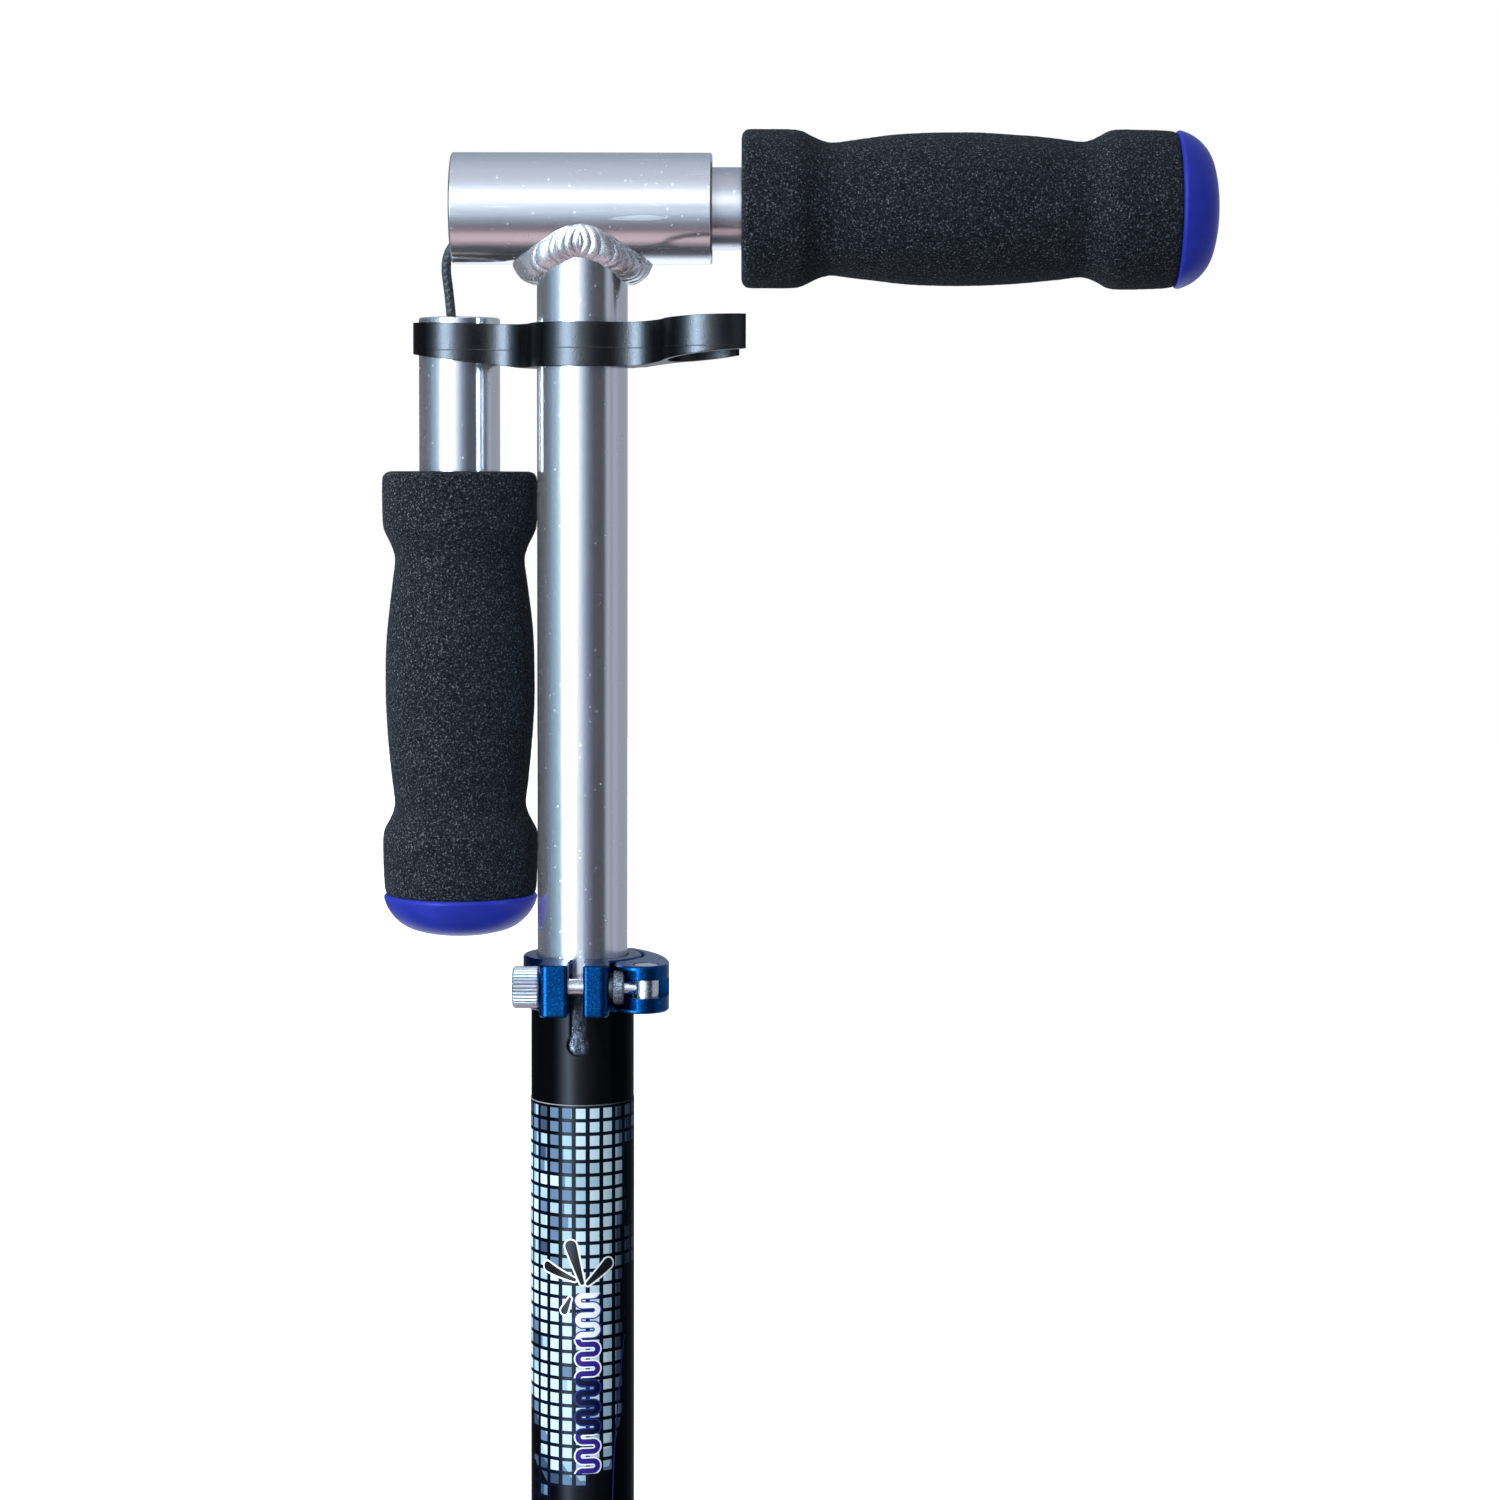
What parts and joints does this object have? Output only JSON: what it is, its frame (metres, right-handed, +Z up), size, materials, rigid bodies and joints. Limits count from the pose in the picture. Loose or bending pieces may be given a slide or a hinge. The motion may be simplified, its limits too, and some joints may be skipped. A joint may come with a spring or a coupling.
{
  "type": "folding kick scooter steering column",
  "caption": "Telescoping steering column of a folding kick scooter: T-bar with plug-in foam grips on a shock cord, stowing clip and quick-release height clamp.",
  "frame": {"origin": "centre of the outer tube's lower end, on its axis, where the fork's steerer tube goes in", "axes": "+Z up the column, +X along the crossbar towards the plugged-in right grip, -Y the side of the height clamp's ears (the front as seen)"},
  "size_m": [0.2594, 0.0776, 0.6353],
  "materials": {
    "polished_aluminium": "polished",
    "weld_metal": "satin",
    "blue_anodised": "satin",
    "black_tube": "gloss",
    "printed_wrap": "gloss",
    "black_clamp": "satin",
    "black_bolt": "satin",
    "bright_steel": "polished",
    "grey_steel": "satin",
    "spring_steel": "satin",
    "black_plastic": "satin",
    "blue_plastic": "gloss",
    "foam": "matte",
    "braided_cord": "matte"
  },
  "bodies": {
    "column": {"outer_tube": "black_tube", "decal_wrap": "printed_wrap", "top_shim": "black_plastic", "clamp_collar": "blue_anodised", "clamp_bolt": "bright_steel", "lever_barrel": "bright_steel", "thrust_washer": "black_plastic", "cam_washer": "grey_steel", "steerer_clamp": "black_clamp", "steerer_bolt_lower": "black_bolt", "steerer_bolt_upper": "black_bolt", "steerer_nut_lower": "black_bolt", "steerer_nut_upper": "black_bolt"},
    "clamp_lever_arm": {"clamp_lever": "blue_anodised"},
    "clamp_nut": {"knurled_nut": "bright_steel"},
    "tbar": {"stem_tube": "polished_aluminium", "stem_foot": "black_plastic", "crossbar_sleeve": "polished_aluminium", "sleeve_bush_right": "black_plastic", "sleeve_bush_left": "black_plastic", "weld_bead": "weld_metal", "height_spring": "spring_steel", "bungee_cord": "braided_cord"},
    "height_catch": {"height_button": "bright_steel"},
    "clip": {"grip_clip": "black_plastic"},
    "right_grip": {"right_handle_tube": "polished_aluminium", "right_foam_grip": "foam", "right_end_cap": "blue_plastic", "right_snap_spring": "spring_steel", "right_cord_guide": "black_plastic", "right_cord_ferrule": "bright_steel"},
    "left_grip": {"left_handle_tube": "polished_aluminium", "left_foam_grip": "foam", "left_end_cap": "blue_plastic", "left_snap_spring": "spring_steel", "left_cord_guide": "black_plastic", "left_cord_ferrule": "bright_steel"},
    "right_catch": {"right_snap_button": "bright_steel"},
    "left_catch": {"left_snap_button": "bright_steel"}
  },
  "joints": [
    {"name": "stem_slide", "type": "slide", "parent": "column", "child": "tbar", "axis": [0, 0, 1], "range_m": [-0.17, 0], "deforming": ["height_button", "height_spring"]},
    {"name": "height_button_press", "type": "slide", "parent": "tbar", "child": "height_catch", "axis": [0, -1, 0], "range_m": [0, 0.0033], "stiffness_N_per_m": 900, "springref_m": -0.002, "deforming": ["height_spring"]},
    {"name": "lever_swing", "type": "hinge", "parent": "column", "child": "clamp_lever_arm", "pos_m": [0.0204, -0.021, 0.3726], "axis": [0, 0, -1], "range_deg": [0, 120]},
    {"name": "nut_spin", "type": "hinge", "parent": "column", "child": "clamp_nut", "pos_m": [-0.016, -0.021, 0.3726], "axis": [1, 0, 0], "continuous": true},
    {"name": "clip_swivel", "type": "hinge", "parent": "tbar", "child": "clip", "pos_m": [0, 0, 0.56875], "axis": [0, 0, 1], "range_deg": [-25, 24], "deforming": ["bungee_cord"]},
    {"name": "left_grip_slide", "type": "slide", "parent": "clip", "child": "left_grip", "axis": [0, 0, 1], "range_m": [-0.012, 0.009], "deforming": ["bungee_cord"]},
    {"name": "left_button_press", "type": "slide", "parent": "left_grip", "child": "left_catch", "axis": [0.5446, -0.8387, 0], "range_m": [0, 0.0054], "stiffness_N_per_m": 600, "springref_m": -0.002, "deforming": ["left_snap_spring"]},
    {"name": "right_grip_slide", "type": "slide", "parent": "tbar", "child": "right_grip", "axis": [1, 0, 0], "range_m": [0, 0.042], "deforming": ["right_snap_button", "right_snap_spring", "bungee_cord"]},
    {"name": "right_button_press", "type": "slide", "parent": "right_grip", "child": "right_catch", "axis": [0, -1, 0], "range_m": [0, 0.0054], "stiffness_N_per_m": 600, "springref_m": -0.002, "deforming": ["right_snap_spring"]}
  ]
}
